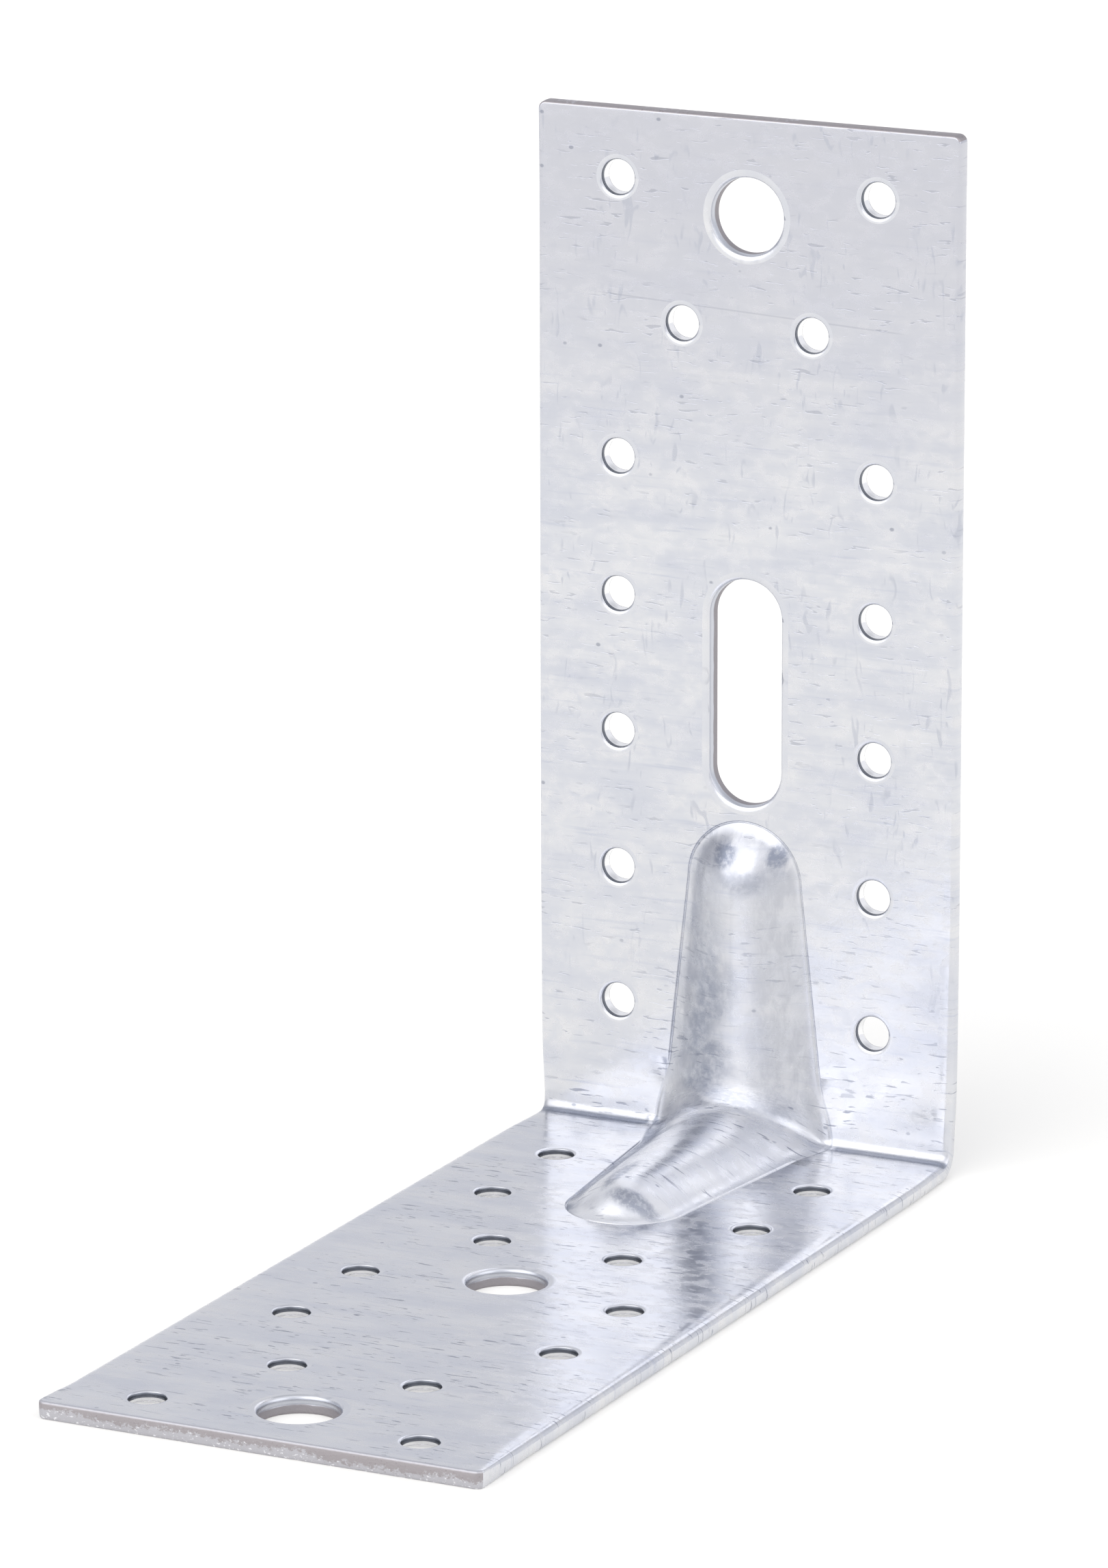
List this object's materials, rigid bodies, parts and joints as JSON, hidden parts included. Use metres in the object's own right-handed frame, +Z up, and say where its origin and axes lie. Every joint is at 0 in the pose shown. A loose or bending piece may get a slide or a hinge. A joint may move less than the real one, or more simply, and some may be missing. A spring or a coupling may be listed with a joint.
{
  "type": "reinforced angle bracket",
  "caption": "Right-angle bracket folded from one galvanised steel strip, with nail holes, bolt holes, a slot and a pressed rib across the bend.",
  "frame": {"origin": "middle of the footprint, on the underside of the lower leg", "axes": "+Z up along the upright, -Y from the upright towards the free end of the lower leg, +X across the width"},
  "size_m": [0.065, 0.15, 0.15],
  "materials": {
    "bracket": "satin"
  },
  "bodies": {
    "root": {"bracket": "bracket"}
  },
  "joints": []
}
